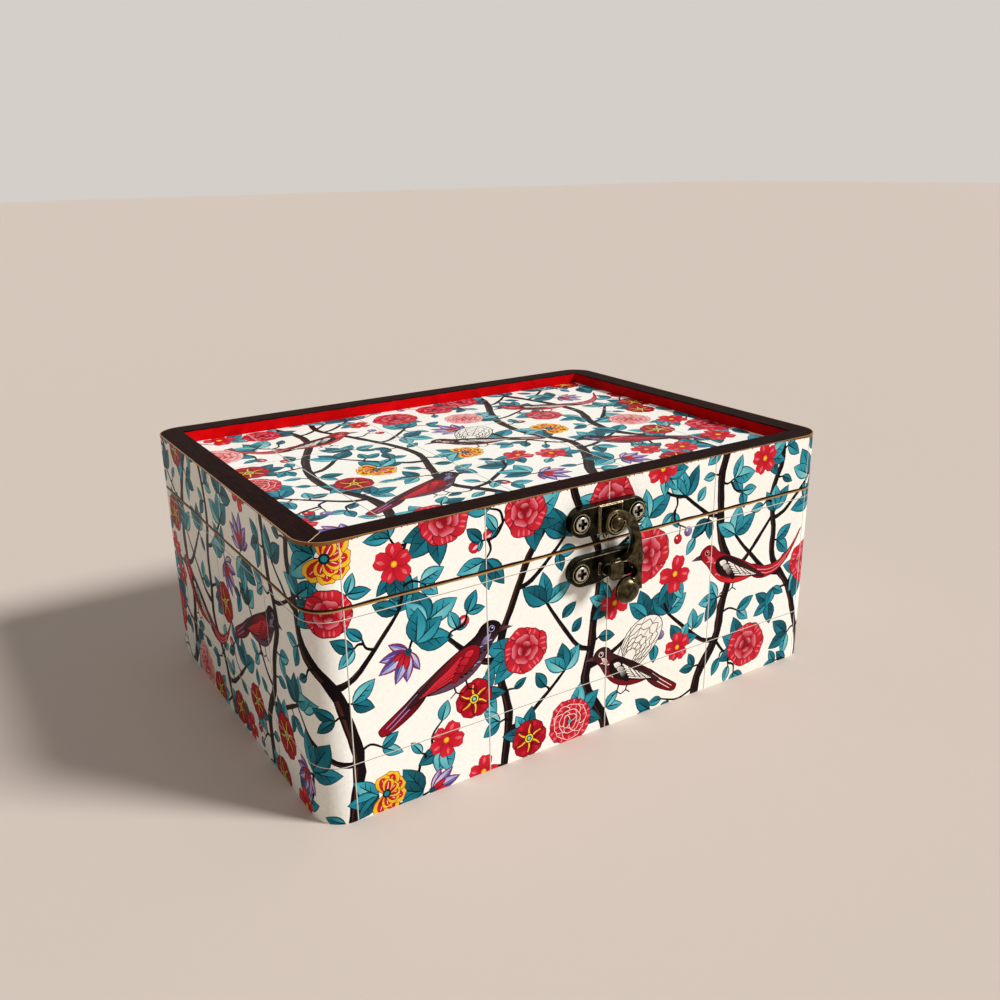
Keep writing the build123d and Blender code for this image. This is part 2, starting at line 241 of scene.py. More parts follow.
def bough(drawing, points, width, end_width):
    """A dark branch of uneven thickness with a browner flank."""
    path = smooth(points)
    side = left_of(path)
    rng = drawing.random
    knots = np.array([[rng.uniform(0.88, 1.2), rng.uniform(0.88, 1.2)] for _ in path])
    across = side * (np.linspace(width, end_width, len(path))[:, None] / 2)
    left, right = path + across * knots[:, :1], path - across * knots[:, 1:]
    drawing.fill(np.concatenate([left, right[::-1]]), "bark")
    if width > 1.6:
        flank = path[2:-2] + side[2:-2] * width * 0.2
        half_way = len(flank) // 2
        drawing.stroke(flank[:half_way], width * 0.1, width * 0.26, "bark_light")
        drawing.stroke(flank[half_way + 1 :], width * 0.24, end_width * 0.1, "bark_light")
    drawing.boughs = np.vstack([drawing.boughs, path])
    for point in path:
        drawing.take(point, width * 0.6)
    return path


def stem(drawing, start, end, width=0.8):
    """A thin curved stalk from a branch to a flower or leaf."""
    across = np.array([start[1] - end[1], end[0] - start[0]])
    bow = drawing.random.uniform(0.14, 0.28) * drawing.random.choice((-1, 1))
    path = smooth([start, (start + end) / 2 + across * bow, end])
    drawing.stroke(path, width * 1.4, width * 0.8, "bark")
    drawing.boughs = np.vstack([drawing.boughs, path[2:-2]])


LEAF_TONES = (
    ("leaf_deep", "leaf", "leaf_light"),
    ("leaf_dark", "leaf_deep", "leaf"),
    ("leaf", "leaf_light", "leaf_pale"),
)


def leaf(drawing, at, angle, length, width=None):
    """A pointed leaf: dark outline, a deep and a light half, and a midrib with veins."""
    rng = drawing.random
    width = width or length * rng.uniform(0.46, 0.62)
    flip = rng.choice((-1, 1))
    fold = rng.uniform(-0.16, 0.16) * length
    deep, middle, light = LEAF_TONES[rng.choice((0, 0, 2, 1, 1, 2))]

    def bend(points):
        points = np.array(points, float)
        points[:, 1] += fold * (points[:, 0] / length) ** 2
        return turn(points, at, angle, 1, flip)

    tip = bend([(length, 0)])[0]
    drawing.inked(bend(lens(length, width)), "leaf_line", deep, middle, at, tip, 0.24)
    t = np.linspace(0.05, 0.95, 6)
    ridge = np.stack([t * length, 0 * t], -1)
    edge = np.stack([t * length, width * 0.43 * np.sin(np.pi * t**0.85)], -1)
    drawing.fill(bend(np.concatenate([ridge, edge[::-1]])), light, middle, at, tip)
    drawing.stroke(bend(ridge[:-1]), 0.5, 0.2, "leaf_line")
    if length > 7:
        for share in (0.3, 0.52):
            vein = [(share * length, 0), ((share + 0.16) * length, -width * 0.34 * math.sin(math.pi * share))]
            drawing.stroke(bend(vein), 0.3, 0.12, "leaf_line")
    drawing.take(bend([(length * 0.52, 0)])[0], length * 0.33)


def sepals(drawing, at, angle, size):
    """Three leaves behind a flower head."""
    for spread in (-0.8, 0.05, 0.85):
        way = angle + spread + drawing.random.uniform(-0.2, 0.2)
        leaf(drawing, at, way, size * drawing.random.uniform(0.95, 1.2))


def peony(drawing, at, angle, radius):
    """A full round flower: rings of frilled petals, either pale with red lines or red with pale ones."""
    rng = drawing.random
    pale = rng.random() < 0.75
    rims = ("red", "red", "red_deep", "red_deep") if pale else ("red_line", "blush", "blush", "blush")
    tones, root = (("rose", "blush"), 0.55) if pale else (("red_deep", "rose"), 0.35)
    drawing.fill(circle(at, radius * 0.92, 14), "red_deep" if pale else "red_line")
    for ring, (reach, count) in enumerate(((1.0, 9), (0.76, 7), (0.52, 6), (0.29, 4))):
        for i in range(count):
            way = angle + 2 * math.pi * (i + 0.5 * (ring % 2) + rng.uniform(-0.15, 0.15)) / count
            length = radius * reach * rng.uniform(0.93, 1.05)
            width = 2 * math.pi * length / count * 1.08
            drawing.lay(petal(length, width, 0.07), at, way, length, (rims[ring], *tones), root)
            if pale and ring < 3:
                crease = turn([(length * 0.62, 0), (length * 0.92, width * 0.04)], at, way)
                drawing.stroke(crease, 0.3, 0.12, "rose")
            if not pale and ring < 2:
                for side in (-0.2, 0.16):
                    streak = lens(length * 0.24, width * 0.13, 1.0, 3) + (length * 0.7, width * side)
                    drawing.lay(streak, at, way, length, ("rose", "pink"), 0.66)
    drawing.fill(circle(at, radius * 0.08, 7), "leaf_light")


def rose(drawing, at, angle, radius):
    """A loose deep pink rose: six broad lobes round a swirl of folded petals."""
    rng = drawing.random
    for i in range(6):
        way = angle + 2 * math.pi * (i + rng.uniform(-0.12, 0.12)) / 6
        length = radius * rng.uniform(0.9, 1.08)
        lobe = petal(length, length * 1.02, 0.08, 9)
        drawing.lay(lobe, at, way, length, ("red_line", "red_deep", "rose"), edge=0.24)
        for side in (-0.2, 0.02, 0.2):
            middle = length * (side + rng.uniform(-0.03, 0.03))
            gleam = lens(length * 0.3, length * 0.09, 1.0, 4) + (length * 0.62, middle)
            drawing.lay(gleam, at, way, length, ("rose", "pink"), 0.6)
    length = radius * 0.54
    for i in range(5):
        way = angle + 0.5 + 2 * math.pi * i / 5
        base = at + radius * 0.1 * heading(way)
        drawing.lay(petal(length, length * 1.1, 0.1, 7), base, way, length, ("wine", "red", "pink"), 0.5)
    heart = petal(radius * 0.32, radius * 0.34)
    for i in range(3):
        way = angle + 1.1 + 2 * math.pi * i / 3
        drawing.lay(heart, at, way, radius * 0.32, ("wine", "red_deep", "pink"), 0.5, 0.16)


def mallow(drawing, at, angle, radius):
    """Five or six dark red petals with yellow veins round a ringed eye."""
    rng = drawing.random
    count = rng.choice((5, 6, 6))
    for i in range(count):
        way = angle + 2 * math.pi * i / count
        length = radius * rng.uniform(0.95, 1.04)
        lobe = petal(length, length * 5.2 / count, 0.06, 7)
        drawing.lay(lobe, at, way, length, ("wine_line", "wine", "red"), edge=0.25)
        gleam = lens(length * 0.3, length * 0.22, 1.0, 4) + (length * 0.58, length * 0.12)
        drawing.lay(gleam, at, way, length, ("red", "rose"), 0.55)
    vein = smooth(np.array([(0.2, 0), (0.46, 0.03), (0.72, -0.04)]) * radius, steps=2)
    for i in range(count):
        drawing.stroke(turn(vein, at, angle + 2 * math.pi * (i + 0.5) / count), 0.62, 0.22, "yellow")
    eye = ((0.27, 12, "wine_line"), (0.23, 11, "yellow"), (0.15, 9, "leaf_line"), (0.09, 7, "leaf_pale"))
    drawing.rings(at, radius, eye)


def blossom(drawing, at, angle, radius):
    """A small open blossom of four or five narrow pink-red petals."""
    rng = drawing.random
    count = rng.choice((4, 5))
    for i in range(count):
        way = angle + 2 * math.pi * (i + rng.uniform(-0.12, 0.12)) / count
        length = radius * rng.uniform(0.85, 1.08)
        lobe = petal(length, length * 0.7, 0.14)
        drawing.lay(lobe, at, way, length, ("red_deep", "red", "rose"), edge=0.16)
        gleam = lens(length * 0.42, length * 0.17, 1.0, 4) + (length * 0.4, length * 0.07)
        drawing.lay(gleam, at, way, length, ("rose", "pink"), 0.35)
    drawing.rings(at, radius, ((0.16, 8, "amber"), (0.1, 7, "yellow")))
    drawing.take(at, radius * 0.92)


def flame_flower(drawing, at, angle, radius):
    """Yellow-edged petals with red tongues, set in a fan of two rows."""
    rng = drawing.random
    for reach, spreads in ((1.0, (-1.9, -1.15, -0.4, 0.4, 1.15, 1.9)), (0.68, (-1.5, -0.75, 0.0, 0.75, 1.5))):
        for spread in spreads:
            way = angle + spread + rng.uniform(-0.1, 0.1)
            length = radius * reach * rng.uniform(0.93, 1.06)
            lobe = petal(length, length * 0.66, 0.1)
            drawing.lay(lobe, at, way, length, ("red_deep", "amber", "yellow"), edge=0.18)
            drawing.lay(petal(length * 0.84, length * 0.4), at, way, length, ("red_deep", "scarlet"))
            drawing.stroke(turn([(length * 0.3, 0), (length * 0.72, 0)], at, way), 0.34, 0.14, "blush")
    drawing.rings(at, radius, ((0.2, 9, "leaf_line"), (0.12, 7, "leaf")))


def lily(drawing, at, angle, radius):
    """A nodding cluster of pointed violet petals edged in wine, with pale folds."""
    rng = drawing.random
    t = np.linspace(0.12, 0.92, 5)
    ridge, edge = np.stack([t, 0 * t], -1), np.stack([t, 0.15 * np.sin(np.pi * t**0.9)], -1)
    fold = np.concatenate([ridge, edge[::-1]])
    for spread, reach in ((-1.25, 0.78), (1.3, 0.8), (-0.72, 1.0), (0.78, 1.02), (-0.26, 1.16), (0.3, 1.1)):
        way = angle + spread + rng.uniform(-0.08, 0.08)
        length = radius * reach
        lobe = lens(length, length * 0.36, 0.9)
        drawing.lay(lobe, at, way, length, ("violet_line", "violet_deep", "violet"), edge=0.3)
        drawing.lay(fold * length, at, way, length, ("lilac_pale", "lilac"))
        vein = [(length * 0.18, -length * 0.05), (length * 0.8, -length * 0.04)]
        drawing.stroke(turn(vein, at, way), 0.4, 0.14, "lilac")
    for spread in (-0.45, 0.1, 0.6):
        tongue = lens(radius * 0.6, radius * 0.2)
        drawing.lay(tongue, at, angle + spread, radius * 0.6, ("wine_line", "red_deep", "rose"), edge=0.18)
    drawing.fill(circle(at, radius * 0.13, 8), "leaf_dark")


def bud(drawing, at, angle, radius):
    """A closed bud held by two narrow sepals."""
    length = radius * 1.7
    drawing.lay(petal(length, radius * 1.25), at, angle, length, ("red_line", "red_deep", "rose"))
    gleam = lens(radius * 0.9, radius * 0.36, 1.0, 4) + (radius * 0.5, radius * 0.14)
    drawing.lay(gleam, at, angle, length, ("pink", "blush"))
    for spread in (-0.55, 0.55):
        leaf(drawing, at - 0.1 * radius * heading(angle), angle + spread, radius * 1.25, radius * 0.5)
    drawing.take(at + 0.8 * radius * heading(angle), radius)


def cherries(drawing, at, angle, radius):
    """Two cherries on forked stalks, one red and one violet."""
    fruits = ((-0.5, ("red_line", "red_deep", "rose")), (0.55, ("violet_line", "violet_deep", "lilac")))
    for spread, inks in fruits:
        centre = at + radius * 2.3 * heading(angle + spread)
        drawing.stroke(smooth([at, (at + centre) / 2 + (0.4, 0.3), centre], steps=2), 0.5, 0.4, "bark")
        drawing.inked(circle(centre, radius * 0.78), *inks, centre - radius * 0.7, centre + radius * 0.7, 0.2)
        drawing.fill(circle(centre + (-radius * 0.22, radius * 0.24), radius * 0.2, 6), "blush")
        drawing.take(centre, radius)


# A songbird in profile, facing +X, in millimetres at size 1
BIRD_BODY = [
    (16.6, 7.4), (15.6, 9.3), (13.2, 10.3), (10.6, 9.5), (8.4, 7.2), (3.8, 4.9), (-1.5, 2.3), (-6.5, -0.5),
    (-10.2, -2.9), (-9.0, -4.8), (-4.0, -5.8), (1.5, -5.6), (6.6, -3.7), (10.4, -0.4), (13.2, 3.4),
    (15.6, 5.8),
]
BIRD_BEAK = [(16.2, 7.9), (18.2, 7.4), (20.4, 6.5), (18.0, 6.3), (15.9, 6.0)]
BIRD_WING = [
    (9.0, 4.2), (5.6, 5.0), (1.0, 3.4), (-4.0, 0.4), (-9.0, -3.0), (-14.6, -7.2), (-8.0, -5.2), (-1.0, -3.9),
    (5.0, -2.4), (8.8, 0.6),
]
RAISED_WING = [
    (6.0, 3.0), (5.2, 9.0), (1.6, 15.2), (-4.4, 18.6), (-10.0, 18.0), (-12.4, 14.4), (-11.0, 9.0),
    (-6.6, 3.6), (-1.0, 0.0),
]
SHORT_TAIL = [
    (-8.0, -1.4), (-14.0, -5.2), (-21.6, -9.6), (-22.6, -11.0), (-20.8, -12.4), (-13.0, -9.2),
    (-8.0, -5.0),
]
SHORT_BARBS = ([(-9.0, -2.6), (-14.0, -6.2), (-20.6, -10.4)], [(-9.0, -3.8), (-13.6, -7.4), (-19.6, -11.2)])
LONG_TAIL = [
    (-7.5, -1.0), (-14.0, -3.2), (-21.0, -2.6), (-27.0, 1.6), (-31.5, 8.0), (-26.0, -1.4), (-20.0, -6.2),
    (-13.0, -7.2), (-8.0, -5.0),
]
LONG_BARBS = (
    [(-9.0, -3.0), (-15.0, -4.7), (-21.0, -4.0), (-26.6, 0.4)],
    [(-10.0, -4.3), (-15.5, -6.1), (-20.6, -5.3), (-24.6, -2.2)],
)
Plumage = namedtuple("Plumage", "line back breast wing bar cheek tail_tip tail barbs")
PLUMAGE = {
    "dusk": Plumage("umber_deep", "umber_deep", "dusk", "red_deep", "rose", "lilac", "red_deep",
                    SHORT_TAIL, SHORT_BARBS),
    "scarlet": Plumage("red_line", "red_deep", "scarlet", "umber_deep", "white", "pink", "scarlet",
                       LONG_TAIL, LONG_BARBS),
    "speckled": Plumage("umber_deep", "umber", "wine", "umber_deep", "white", "blush", "wine",
                        SHORT_TAIL, SHORT_BARBS),
}
# Middles and radii of the room that a bird takes
BIRD_ROOM = ((13.0, 6.5, 5.0), (6.0, 1.0, 7.0), (-2.0, -2.0, 6.0), (-10.0, -5.0, 5.0), (-17.0, -8.0, 4.5))


def netted(drawing, root, tips, place):
    """Feather shafts that fan from root to tips, under rows of scalloped feather ends."""
    for tip in tips[::2]:
        drawing.stroke(place([root + (tip - root) * 0.3, tip]), 0.28, 0.14, "umber_deep")
    for row, share in enumerate((0.3, 0.42, 0.55, 0.69, 0.84)):
        reach = np.array([share * (1.1 if (i + row) % 2 else 1.0) for i in range(len(tips))])[:, None]
        drawing.stroke(place(smooth(root + (tips - root) * reach, steps=2)), 0.28, 0.28, "umber_deep")


def bird(drawing, at, angle, size, coat, flip):
    """A songbird with barred wings and a streaked tail; the speckled one lifts a wing."""
    look = PLUMAGE[coat]

    def place(points):
        return turn(points, at, angle, size, flip)

    def shape(points, colour, far_colour, near, far, edge=0.28):
        outline = place(smooth(points, closed=True, steps=3))
        drawing.inked(outline, look.line, colour, far_colour, *place([near, far]), edge)

    if coat == "speckled":
        shape(RAISED_WING, "white", "white", (0, 0), (1, 0), 0.3)
        netted(drawing, np.array((3.0, 2.5)), smooth(RAISED_WING[1:9], steps=2), place)
    for foot in (0.5, 4.4):
        leg = smooth([(foot, -4.8), (foot + 0.6, -7.6), (foot + 2.6, -8.6)], steps=2)
        drawing.stroke(place(leg), 0.6, 0.4, "umber_deep")
        drawing.stroke(place([(foot + 0.4, -7.5), (foot - 1.4, -8.8)]), 0.45, 0.3, "umber_deep")
    shape(look.tail, look.back, look.tail_tip, look.tail[0], look.tail[len(look.tail) // 2])
    for barb in look.barbs:
        drawing.stroke(place(smooth(barb, steps=2)), 0.4, 0.2, look.cheek)
    shape(BIRD_BODY, look.breast, look.back, (6, -5), (4, 5.5))
    for row, (x, y) in enumerate(((10.2, 2.2), (8.0, -0.8), (5.4, -2.6), (12.0, 4.6))):
        for k in range(3):
            streak = lens(1.7, 0.5, 1.0, 3) + (x - k * 1.5, y - k * 0.5)
            drawing.fill(place(streak), look.cheek if row % 2 else look.back)
    shape(BIRD_WING, look.wing, "umber", (8, 2), (-8, -4))
    for k in range(4):
        scallop = petal(3.4, 2.1) @ np.array([[-0.9, -0.42], [0.42, -0.9]]) + (7.6 - k * 1.6, 3.4 - k * 1.9)
        drawing.inked(place(scallop), look.line, look.bar, look.wing, *place([(7, 3), (2, -2)]), 0.18)
    for k in range(6):
        start = np.array((3.6 - k * 0.7, 2.5 - k * 1.1))
        end = np.array((-5.6 - k * 0.9, -2.6 - k * 0.5))
        drawing.stroke(place([start, (start + end) / 2 + (0, -0.3), end]), 0.46, 0.24, look.bar)
    if look.bar == "white":
        for share in (0.3, 0.55, 0.8):
            bar = [(3.6 - 9.2 * share, 2.5 - 5.1 * share), (-9.8 * share, -3.0 - 2.3 * share)]
            drawing.stroke(place(bar), 0.3, 0.3, look.line)
    cheek = lens(4.4, 1.7, 1.0, 4) @ np.array([[-0.8, -0.6], [0.6, -0.8]]) + (13.4, 6.6)
    drawing.fill(place(cheek), look.cheek, look.breast, *place([(13.4, 6.6), (10, 4)]))
    drawing.inked(place(BIRD_BEAK), "umber_deep", "umber", "dusk", *place([(16, 7), (20, 6.5)]), 0.15)
    eye = place([(13.6, 7.9)])[0]
    drawing.rings(eye, size, ((1.05, 9, look.cheek), (0.78, 9, "umber_deep")))
    drawing.fill(circle(eye + (0.2, 0.25), 0.24 * size, 6), "white")


# Flowers in the order in which they are set, with their radii
FLOWERS = (
    (peony, 8.6), (mallow, 6.8), (rose, 8.2), (blossom, 6.2), (lily, 8.8), (flame_flower, 7.4),
    (blossom, 5.6), (mallow, 6.2), (lily, 8.0), (rose, 7.0), (blossom, 5.8), (cherries, 2.0),
)


def sprig(drawing, root, at, room):
    """A twig from the nearest branch that ends in two or three leaves, a bud or a blossom."""
    rng = drawing.random
    away = bearing(root, at)
    size = min(room * 1.9, rng.uniform(8.5, 12.5))
    base = at - size * 0.45 * heading(away)
    if np.linalg.norm(base - root) > 1.5:
        stem(drawing, root, base, 0.66)
    pick = rng.random()
    if room > 5.0 and pick < 0.22:
        blossom(drawing, base + 2.5 * heading(away), away, min(room, 5.8))
        return
    if room > 4.2 and pick < 0.36:
        bud(drawing, base, away, 2.5)
        leaf(drawing, base, away + rng.choice((-1.3, 1.3)), size * 0.7)
        return
    if room > 4.6 and pick < 0.42:
        cherries(drawing, base, away, 1.9)
        return
    spreads = (-1.0, 0.05, 1.05) if room > 4.4 else ((-0.7, 0.5) if room > 3.4 else (0.0,))
    for spread in spreads:
        leaf(drawing, base, away + spread + rng.uniform(-0.15, 0.15), size * rng.uniform(0.8, 1.05))


def grow_garden(drawing, trunks, birds, flower_count, filler_tries):
    """Fills a drawing with branches, birds, flowers on stalks, leaves and buds."""
    rng = drawing.random
    tips = []
    for points, width, end_width, forks in trunks:
        path = bough(drawing, points, width, end_width)
        for share, reach, rise, fork_width in forks:
            start = path[int(share * (len(path) - 1))]
            points = [start + (reach * x, rise * z) for x, z in ((0, 0), (0.3, 0.12), (0.72, 0.62), (1, 1))]
            tips.append(bough(drawing, points, fork_width, 0.9)[-1])
    for tip in tips:
        for spread in (-0.9, 0.1, 1.0):
            leaf(drawing, tip, math.pi / 2 + spread + rng.uniform(-0.3, 0.3), rng.uniform(8, 10.5))
    for at, angle, size, _, flip in birds:
        for x, z, room in BIRD_ROOM:
            drawing.take(turn([(x, z)], at, angle, size, flip)[0], room * size)
    heads = []
    for number in range(flower_count):
        flower, radius = FLOWERS[number % len(FLOWERS)]
        radius *= rng.uniform(0.9, 1.1)
        reach = radius * (2.4 if flower is cherries else 1.0)
        spots = [(rng.uniform(1, drawing.width - 1), rng.uniform(0, drawing.height)) for _ in range(50)]
        spots = [(np.array(spot), reach * 0.9) for spot in spots]
        if number % 2 == 0:
            by_tips = [tip + (rng.uniform(-2, 2), rng.uniform(-1, 2)) for tip in tips]
            spots = [(spot, reach * 0.3) for spot in by_tips] + spots
        free = [spot for spot, least in spots if drawing.room(spot) > least]
        if not free:
            continue
        at = min(free, key=drawing.room)
        root = drawing.nearest_bough(at)
        stem(drawing, root, at)
        drawing.take(at, reach)
        heads.append((flower, at, bearing(root, at), radius))
    for flower, at, away, radius in heads:
        if flower is not cherries:
            sepals(drawing, at - 0.35 * radius * heading(away), away + math.pi, min(radius * 1.25, 9.5))
    for _ in range(filler_tries):
        at = np.array((rng.uniform(-2, drawing.width + 2), rng.uniform(-2, drawing.height + 2)))
        room = drawing.room(at)
        if room < 2.9:
            continue
        root = drawing.nearest_bough(at)
        if np.linalg.norm(at - root) < 24:
            sprig(drawing, root, at, room)
    for flower, at, away, radius in heads:
        flower(drawing, at, away, radius)
    for perched in birds:
        bird(drawing, *perched)


def tile_joints(drawing, uprights, levels):
    """Fine joints of the painted tiles that the print shows, each a dark and a light line."""
    for x in uprights:
        for shift, width, colour in ((0.0, 0.22, "joint_dark"), (0.22, 0.14, "joint_light")):
            drawing.bar(x + shift, x + shift + width, -2, drawing.height + 2, colour)
    for z in levels:
        for shift, width, colour in ((0.0, 0.17, "joint_dark"), (0.17, 0.13, "joint_light")):
            drawing.bar(-2, drawing.width + 2, z + shift, z + shift + width, colour)


# From drawing to sheet

# Decimals of a millimetre to which corners of the print are told apart
WELD_DIGITS = 4


def cut_up(drawing, window, folds, ground):
    """Cuts a window of the drawing into triangles along every outline and fold.

    Gives the corner points, the triangles, and for each triangle the two colours of its
    ink and the two places between which they run.
    """
    left, right, low, high = window
    points = [(left, low), (right, low), (right, high), (left, high)]
    outlines = [[0, 1, 2, 3]]
    inks = [(ground, ground, np.zeros(2), np.ones(2))]
    for outline, *ink in drawing.shapes:
        least, most = outline.min(0), outline.max(0)
        if most[0] < left or least[0] > right or most[1] < low or least[1] > high:
            continue
        numbers = list(range(len(points), len(points) + len(outline)))
        outlines.append(numbers if winding(outline) > 0 else numbers[::-1])
        points += outline.tolist()
        inks.append(ink)
    edges = []
    for fold in folds:
        edges.append((len(points), len(points) + 1))
        points += [(fold, low - 1), (fold, high + 1)]
    points = [Vector(p) for p in points]
    flat, _, triangles, _, _, owners = delaunay_2d_cdt(points, edges, outlines, 0, 10**-WELD_DIGITS, True)
    inside = [(corners, max(shapes)) for corners, shapes in zip(triangles, owners) if 0 in shapes]
    spots = np.array([tuple(p) for p in flat]).round(WELD_DIGITS)[[corners for corners, _ in inside]]
    at, corners = np.unique(spots.reshape(-1, 2), axis=0, return_inverse=True)
    corners = corners.reshape(-1, 3)
    whole = (corners != np.roll(corners, 1, 1)).all(1)
    top = np.array([shape for _, shape in inside])[whole]
    return at, corners[whole], [np.array([ink[k] for ink in inks])[top][:, None] for k in range(4)]


def close_up(at, corners, window, folds):
    """Faces of a sheet with its edges and back added, and the points round its rim in order.

    The back is one flat strip for each stretch between folds.
    """
    left, right, low, high = window
    faces = corners.tolist()
    sides = {(a, b) for face in faces for a, b in zip(face, face[1:] + face[:1])}
    onward = {a: b for a, b in sides if (b, a) not in sides}
    rim = [min(onward, key=lambda i: at[i].sum())]
    while onward[rim[-1]] != rim[0]:
        rim.append(onward[rim[-1]])
    behind = {i: len(at) + k for k, i in enumerate(rim)}
    faces += [[b, a, behind[a], behind[b]] for a, b in zip(rim, rim[1:] + rim[:1])]

    def nearest(x, z):
        return int(np.linalg.norm(at[rim] - (x, z), axis=1).argmin())

    bends = [(nearest(fold, low), nearest(fold, high)) for fold in sorted(folds) if left < fold < right]
    turn_up = nearest(right, low)
    cuts = [(0, len(rim)), *bends, (turn_up, turn_up + 1)]
    for (foot, head), (next_foot, next_head) in zip(cuts, cuts[1:]):
        strip = rim[foot : next_foot + 1] + rim[next_head : head + 1]
        faces.append([behind[i] for i in reversed(strip)])
    return faces, rim


def add_object(name, data):
    made = bpy.data.objects.new(name, data)
    bpy.context.scene.collection.objects.link(made)
    return made


def print_sheet(name, drawing, window, folds, place, settings):
    """A closed sheet of paper whose printed face is divided along the outlines of the drawing.

    window is (left, right, low, high) in the drawing's millimetres, folds are the upright
    lines at which the sheet may bend, and place gives the point in space of a point of
    the drawing at a depth behind the face.
    """
    left, right, low, high = window
    at, corners, (start, end, near, far) = cut_up(drawing, window, folds, np.array(settings.ground))
    faces, rim = close_up(at, corners, window, folds)
    verts = [place(x, z, 0.0) for x, z in at] + [place(*at[i], settings.paper_thickness) for i in rim]
    mesh = bpy.data.meshes.new(name)
    mesh.from_pydata(verts, [], faces)
    if mesh.validate():
        raise RuntimeError(f"{name} has a broken face")
    spots = at[corners]
    along = far - near
    passed = ((spots - near) * along).sum(-1, keepdims=True)
    share = (passed / (along * along).sum(-1, keepdims=True).clip(1e-9)).clip(0, 1)
    colours = np.ones((len(mesh.loops), 4), np.float32)
    colours[:, :3] = PAPER_CORE
    colours[: corners.size, :3] = (start * (1 - share) + end * share).reshape(-1, 3)
    coords = np.full((len(mesh.loops), 2), (0.5, 0.99), np.float32)
    coords[: corners.size] = ((spots - (left, low)) / (right - left, high - low) * (1, 0.97)).reshape(-1, 2)
    mesh.color_attributes.new("ink", "FLOAT_COLOR", "CORNER").data.foreach_set("color", colours.ravel())
    mesh.uv_layers.new(name="OFBake").data.foreach_set("uv", coords.ravel())
    mesh.shade_smooth()
    mesh.set_sharp_from_angle(angle=math.radians(30))
    return add_object(name, mesh)


# Sides of the box, walked round to the right as seen from outside: name, along and out
SIDES = (
    ("left", Vector((0, -1, 0)), Vector((-1, 0, 0))),
    ("front", Vector((1, 0, 0)), Vector((0, -1, 0))),
    ("right", Vector((0, 1, 0)), Vector((1, 0, 0))),
    ("back", Vector((-1, 0, 0)), Vector((0, 1, 0))),
)


def side_lengths(radius):
    """Straight lengths of the sides and the length of half a corner's arc, in millimetres."""
    straights = [2 * (HALF_DEPTH - radius) / MM, 2 * (HALF_WIDTH - radius) / MM] * 2
    return straights, math.pi * radius / 4 / MM


def side_place(along, out, start, straight, half_arc, radius):
    """Function from the drawing's millimetres to points on one side, bent round its corners."""
    centre_line = out * ((HALF_WIDTH if out.x else HALF_DEPTH) - radius)
    first = centre_line - along * straight * MM / 2
    last = centre_line + along * straight * MM / 2

    def place(x, z, depth):
        s = x - start
        if s < half_arc:
            centre, angle = first, (s - half_arc) * MM / radius
        elif s > half_arc + straight:
            centre, angle = last, (s - half_arc - straight) * MM / radius
        else:
            centre, angle = first + along * (s - half_arc) * MM, 0.0
        point = centre + (out * math.cos(angle) + along * math.sin(angle)) * (radius - depth)
        return (point.x, point.y, z * MM)

    return place


# Where forks leave their trunk, as a share of its height, how far they reach and rise, and their width
FORK_SETS = (
    ((0.28, -21, 15, 1.9), (0.5, 19, 17, 2.1), (0.72, -15, 9, 1.5)),
    ((0.2, 20, 13, 1.8), (0.44, -22, 18, 2.2), (0.66, 16, 12, 1.6)),
    ((0.33, 23, 10, 2.0), (0.38, -16, 19, 1.7), (0.7, 18, 8, 1.4)),
)


def trunk(x, lean, sway, phase, height, width, forks):
    """A rising branch that sways about a leaning line, with its forks."""
    points = []
    for z in np.linspace(-6, height + 6, 9):
        swayed = x + lean * z + sway * math.sin(z / 12 + phase)
        points.append((swayed + 1.2 * math.sin(z / 4.1 + 2 * phase), z))
    return points, width, width * 0.75, forks


def facing_right(x, z, coat, tilt=0.2, size=1.0):
    return (x, z), tilt, size, coat, 1


def facing_left(x, z, coat, tilt=0.2, size=1.0):
    return (x, z), math.pi - tilt, size, coat, -1


def edge_wear(drawing, corners):
    """The seam's dark line, which is painted shade of the gap under the lid, its tan line, and the stain that
    has crept over the upper edge.
    """
    rng = drawing.random

    def band(level, edge, colour):
        drawing.fill([(edge[0][0], level), *edge, (edge[-1][0], level)], colour)

    seam = (CASE_TOP + LID_FOOT) / 2 / MM
    # Above the seam a painted shade line on the lid's lower edge, below it the case's tan edge
    for reach, colour in ((0.6, "seam_painted_shade"), (-0.5, "seam_tan")):
        steps = np.arange(-2, drawing.width + 4, 2.5)
        band(seam, [(x, seam + reach + rng.uniform(-0.1, 0.1)) for x in steps], colour)
    steps = np.arange(-2, drawing.width + 4, 2.0)
    reach = []
    for x in steps:
        at_corner = max(math.exp(-(((x - corner) / 13) ** 2)) for corner in corners)
        reach.append(0.22 + 0.75 * at_corner + rng.uniform(-0.08, 0.08))
    band(drawing.height + 1, [(x, drawing.height - r) for x, r in zip(steps, reach)], "stain_creep")
    for x in np.arange(0, drawing.width, 1.7):
        drop = rng.uniform(0.0, 0.3) + reach[int((x + 2) / 2.0)]
        at = (x + rng.uniform(-0.6, 0.6), drawing.height - drop * 0.7)
        chip = circle(at, rng.uniform(0.12, 0.34), 6)
        drawing.fill(chip, "stain_creep" if rng.random() < 0.6 else "stain_dark")


# Spacing of the trunks round the sides, and of the painted tiles' joints, in millimetres
TRUNK_SPACING = 41.0
TILE = 41.5


